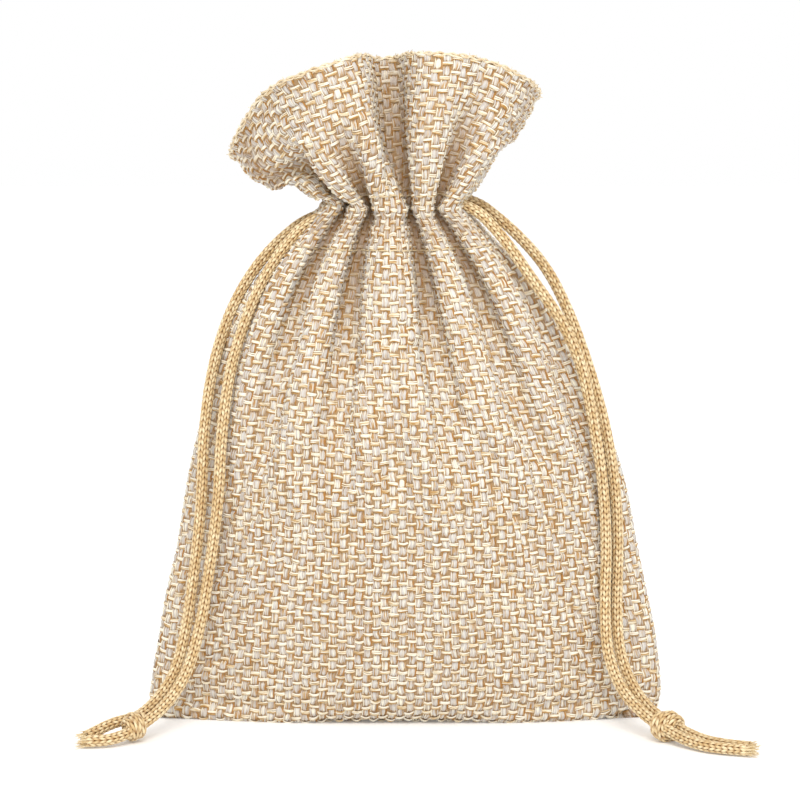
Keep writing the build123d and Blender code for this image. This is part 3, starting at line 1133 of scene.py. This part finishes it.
def rim_edge(name, side_u):
    """The folded edge along one side of the mouth, with fibres that have worked loose from it."""
    u = side_u + np.linspace(0, WIDTH, 260)
    strands = Strands()
    for depth, out, thick in RIM_THREADS:
        here, _, dv, normal = cloth.frame(u, np.full(u.shape, HEIGHT - depth))
        along = 0.2 * np.sin(u * 3.1 + depth * 9)[:, None] * dv
        outward = 0.16 * np.cos(u * 2.3 + depth * 7)[:, None] * normal
        places = here + normal * out + (along + outward)
        thread(strands, places, thick, random.uniform(0, 1, 10))
    for _ in range(LOOSE_FIBRES):
        u, v = np.array([side_u + random.uniform(0, WIDTH)]), np.array([HEIGHT - 0.4])
        here, du, dv, normal = (values[0] for values in cloth.frame(u, v))
        length = random.uniform(0.4, 1.2)
        t = np.linspace(0, 1, 6)[:, None]
        curl = random.uniform(-0.9, 0.9)
        lean = random.uniform(-0.7, 0.9)
        places = here + length * (dv * t * 0.8 + du * curl * t**2 + normal * lean * t**1.5)
        thread(strands, places, random.uniform(0.10, 0.16), random.uniform(0.3, 1.0))
    return strands.piece(name, FIBRE)


stitch_row("lower_stitch_row", "lower_casing_stitches", 104.6)
stitch_row("upper_stitch_row", "upper_casing_stitches", 115.6)


ALLOWANCE = 0.35  # half the gap between the two cloth edges of a side seam


def side_allowance(name, node, u_seam, inward):
    """The two cloth edges turned into the bag at a side seam, closed by a zigzag thread."""
    v = np.linspace(6, 101, 96)
    edge = cloth.at(np.full(v.shape, u_seam), v)
    reach = 4.6 * np.clip((103 - v) / 12, 0.25, 1)  # how far into the bag the edges go
    level = 0 * v
    strands = Strands()
    for shift in (-ALLOWANCE, ALLOWANCE):
        inner = edge + np.column_stack([inward * reach, shift + level, level])
        outer = edge + np.column_stack([inward * (0.9 + level), shift * 0.6 + level, level])
        share = np.linspace(0, 1, 9)[None, :, None]
        strands.add_sheet(outer[:, None] * (1 - share) + inner[:, None] * share, 0.4, 0.15)
    turn = np.arange(0, 94, 0.5)  # along the seam
    zig = np.abs((turn / 2.0) % 2 - 1)
    base = places_at(edge, v, turn + 6.5)
    depth = np.interp(turn + 6.5, v, reach)
    layer = np.where((turn // 4).astype(int) % 2 == 0, 0.6, -0.6)
    zigzag = base + np.column_stack([inward * depth * (0.35 + 0.68 * zig), layer, 0 * turn])
    thread(strands, zigzag, SEAM_THREAD, 0.7)
    piece = strands.piece(name, THREAD)
    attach(piece, "pouch")
    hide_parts(node)


for side, side_u, *bend in sides:
    rim = rim_edge(f"{side}_rim_edge_fibres", side_u)
    ride_cloth(rim, *bend)

side_allowance("left_seam_allowance", "left_side_seam", 0.0, 1.0)
side_allowance("right_seam_allowance", "right_side_seam", WIDTH, -1.0)


def bottom_allowance():
    """The bottom edges turned up inside the bag, and the thread that closes them."""
    u = np.linspace(8, WIDTH - 8, 90)
    front, back = cloth.at(u, 0 * u + 1.0), cloth.at(2 * WIDTH - u, 0 * u + 1.0)
    middle = 0.5 * (front + back)
    base = np.column_stack([middle[:, 0], middle[:, 1], np.maximum(middle[:, 2], 0) + 0.9])
    share = np.linspace(0, 1, 9)[None, :, None]
    strip = Strands()
    for layer in (-0.4, 0.4):
        grid = base[:, None] + share * np.array([0, 0, 4.4]) + np.array([0, layer, 0])
        strip.add_sheet(grid, 0.4, 0.15)
    piece = strip.piece("bottom_seam_allowance", THREAD)
    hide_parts("bottom_seam")
    turn = np.arange(0, len(u) - 1, 0.5)  # along the seam
    zig = np.abs((turn / 1.6) % 2 - 1)
    along = places_at(base, np.arange(len(u)), turn)
    layer = np.where((turn // 3.2).astype(int) % 2 == 0, 0.65, -0.65)
    zigzag = along + np.column_stack([0 * turn, layer, 1.4 + 3.2 * zig])
    strands = Strands()
    thread(strands, zigzag, SEAM_THREAD, 0.7)
    stitches = strands.piece("bottom_zigzag_thread", THREAD)
    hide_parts("bottom_seam_overlock")
    for each in (piece, stitches):
        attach(each, "pouch")


bottom_allowance()

# ---------------------------------------------------------------- stage and lights

bpy.ops.mesh.primitive_plane_add(size=3.0, location=(0, 0.4, 0))
floor = bpy.context.object
floor.name = "floor"
paper = Nodes("paper")
for key, value in (
    ("Base Color", (0.93, 0.93, 0.93, 1)), ("Roughness", 0.9),
    ("Emission Color", (1, 1, 1, 1)), ("Emission Strength", 0.10),
):
    paper.shader.inputs[key].default_value = value
floor.data.materials.append(paper.material)

bpy.context.scene.view_settings.view_transform = "Standard"
world = bpy.data.worlds.new("studio")
bpy.context.scene.world = world
world.use_nodes = True
background = world.node_tree.nodes["Background"]
background.inputs["Color"].default_value = (1, 1, 1, 1)
background.inputs["Strength"].default_value = 1.0

key_data = bpy.data.lights.new("key", "AREA")
key_data.shape = "SQUARE"
key_data.size = 0.35
key_data.energy = 3.3
key_light = bpy.data.objects.new("key", key_data)
key_light.location = (0.04, -0.56, 0.62)
towards_bag = Vector((0, 0, 0.06)) - key_light.location
key_light.rotation_euler = towards_bag.to_track_quat("-Z", "Y").to_euler()
bpy.context.scene.collection.objects.link(key_light)
